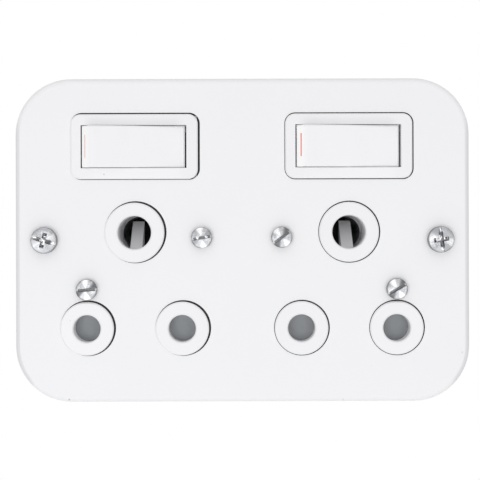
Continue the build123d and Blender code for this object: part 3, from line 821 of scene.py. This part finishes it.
# %% Springs in the rockers' stems
along = Vector((-sin(tilt), cos(tilt), 0))
turn = Matrix.Rotation(tilt, 4, "Z") @ Matrix.Rotation(radians(-90), 4, "X")
for side in sides:
    low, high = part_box(f"plunger_spring_{side}")
    length = (high.y - low.y - 2 * (plunger_coil_mm + wire_mm / 2) * mm * sin(tilt)) / cos(tilt)
    middle = (low + high) / 2
    coil = wire_coil(f"plunger_coil_{side}", middle, turn, plunger_coil_mm, length / mm, plunger_turns)
    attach(coil, f"rocker_{side}")
    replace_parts(coil, f"plunger_spring_{side}")
    foot = middle - along * length / 2
    joint = f"plunger_{side}"
    1 - travel[joint] / length
    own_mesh(coil)

# %% [markdown]
# ## The red marks
# A red line on the sloping left end of each rocker shows when the switch is on. On such switches it is
# often paint wiped into a shallow groove, so the edges are soft and the film is thin, and here the left
# one is almost gone. A flat bar with rounded ends, laid on the slope, is enough, and it rides on the
# rocker.

# %% Paint lines on the rockers
rocker_left_mm, rocker_end_mm, slope_run_mm, slope_drop_mm = -14.05, -1.2, 2.2, 1.8
mark_width_mm, mark_film_mm, mark_length_mm, mark_corner_mm = 0.34, 0.03, 6.2, 0.14
slope = atan2(slope_drop_mm, slope_run_mm)


def mark_paint(name, fresh, faded):
    finish = Finish(name, {"IOR": 1.5})
    place = finish.place()
    worn = finish.noise(place, size_mm=0.7, detail=4.0)
    finish.feed("Base Color", finish.blend(worn, fresh, faded))
    finish.feed("Roughness", 0.35 + 0.2 * worn)
    finish.bump(worn, depth_mm=0.006)
    return finish


def red_mark(side, inset_mm, rise_mm, fresh, faded):
    bm = bmesh.new()
    bmesh.ops.create_cube(bm, size=1.0)
    size = Vector((mark_width_mm, mark_film_mm, mark_length_mm)) * mm
    bmesh.ops.scale(bm, vec=size, verts=bm.verts[:])
    upright = [e for e in bm.edges if abs(e.verts[0].co.y - e.verts[1].co.y) > size.y / 2]
    bmesh.ops.bevel(
        bm, geom=upright, offset=mark_corner_mm * mm, affect="EDGES", segments=4, profile=0.5, material=-1
    )
    mark = as_object(bm, f"red_mark_{side}")
    drop_mm = inset_mm * slope_drop_mm / slope_run_mm
    on_slope = (rocker_left_mm + inset_mm, rocker_end_mm - drop_mm, rise_mm)
    mark.data.transform(
        Matrix.Translation(pivot[side])
        @ Matrix.Rotation(tilt, 4, "Z")
        @ Matrix.Translation(Vector(on_slope) * mm)
        @ Matrix.Rotation(-slope, 4, "Z")
    )
    mark.data.materials.append(mark_paint(f"paint_{side}", fresh, faded).material)
    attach(mark, f"rocker_{side}")
    print(mark.name, "at", [round(v / mm, 2) for v in mark.data.vertices[0].co])


pink, pale_pink = srgb(240, 190, 180), srgb(246, 222, 214)
red, pale_red = srgb(226, 96, 86), srgb(236, 150, 142)
red_mark("left", inset_mm=0.8, rise_mm=0.0, fresh=pink, faded=pale_pink)
red_mark("right", inset_mm=1.0, rise_mm=0.25, fresh=red, faded=pale_red)

# %% [markdown]
# ## Floor, light and camera
# The photograph is a plain studio picture on a white ground, lit evenly from all round. Here soft boxes
# in front give that light. Two stand at the sides, a little below the middle and the left one stronger,
# one lies below and one hangs above. The ground is the world's own white, shown to the camera and to
# anything that mirrors it, while the world lights the object at a lower level. A pale floor lies well
# below. It too looks paler than the light that it sends up, so that it meets the ground softly.

# %% Floor
floor_half, floor_height = 1.2, -0.9


def floor_paper():
    finish = Finish("floor_paper", {"Roughness": 0.8, "Emission Strength": 0.4})
    place = finish.place()
    cloud = finish.noise(place, size_mm=90.0)
    finish.feed("Base Color", finish.blend(cloud, srgb(244, 244, 244), srgb(248, 248, 248)))
    finish.feed("Emission Color", finish.blend(finish.seen(), srgb(0, 0, 0), srgb(255, 255, 255)))
    return finish


bm = bmesh.new()
bmesh.ops.create_grid(bm, x_segments=2, y_segments=2, size=floor_half)
floor = as_object(bm, "floor")
floor.data.transform(Matrix.Translation((0, 0, floor_height)))
floor.data.materials.append(floor_paper().material)
print("floor faces:", len(floor.data.polygons))

# %% World
fill, white = 0.59, 1.0
world = bpy.data.worlds.new("studio")
bpy.context.scene.world = world
world.use_nodes = True
studio = Nodes(world.node_tree)
level = studio.node("ShaderNodeMapRange", {"Value": studio.seen(), "To Min": fill, "To Max": white})
ground = studio.tree.nodes["Background"]
ground.inputs["Color"].default_value = srgb(255, 255, 255)
studio.tree.links.new(level.socket, ground.inputs["Strength"])
print("world nodes:", len(studio.tree.nodes))


# %% Soft boxes
def soft_box(name, place, size, watts):
    light = bpy.data.lights.new(name, "AREA")
    light.shape = "RECTANGLE"
    light.size, light.size_y = size
    light.energy = watts
    lamp = bpy.data.objects.new(name, light)
    bpy.context.scene.collection.objects.link(lamp)
    lamp.location = place
    lamp.rotation_euler = (-Vector(place)).to_track_quat("-Z", "Y").to_euler()


soft_box("left_box", place=(-0.35, -0.85, -0.20), size=(0.4, 0.4), watts=1.68)
soft_box("right_box", place=(0.35, -0.85, -0.20), size=(0.4, 0.4), watts=1.09)
soft_box("bottom_box", place=(0.0, -0.40, -0.70), size=(1.0, 0.6), watts=0.9)
soft_box("top_box", place=(0.0, -0.45, 0.75), size=(1.0, 0.6), watts=1.15)

# %% The camera, square on
reach, view_mm, eye_x_mm, roll_deg, sensor_mm = 0.260, 128.2, -0.64, 0.16, 36.0
camera = bpy.data.cameras.new("camera")
camera.sensor_width = sensor_mm
camera.lens = sensor_mm * reach / (view_mm * mm)
eye = bpy.data.objects.new("camera", camera)
bpy.context.scene.collection.objects.link(eye)
eye.location = (eye_x_mm * mm, face_mm * mm - reach, 0.0)
eye.rotation_euler = (radians(90), radians(roll_deg), 0)
bpy.context.scene.camera = eye
bpy.context.scene.view_settings.view_transform = "Standard"
print("lens:", round(camera.lens, 1), "mm")
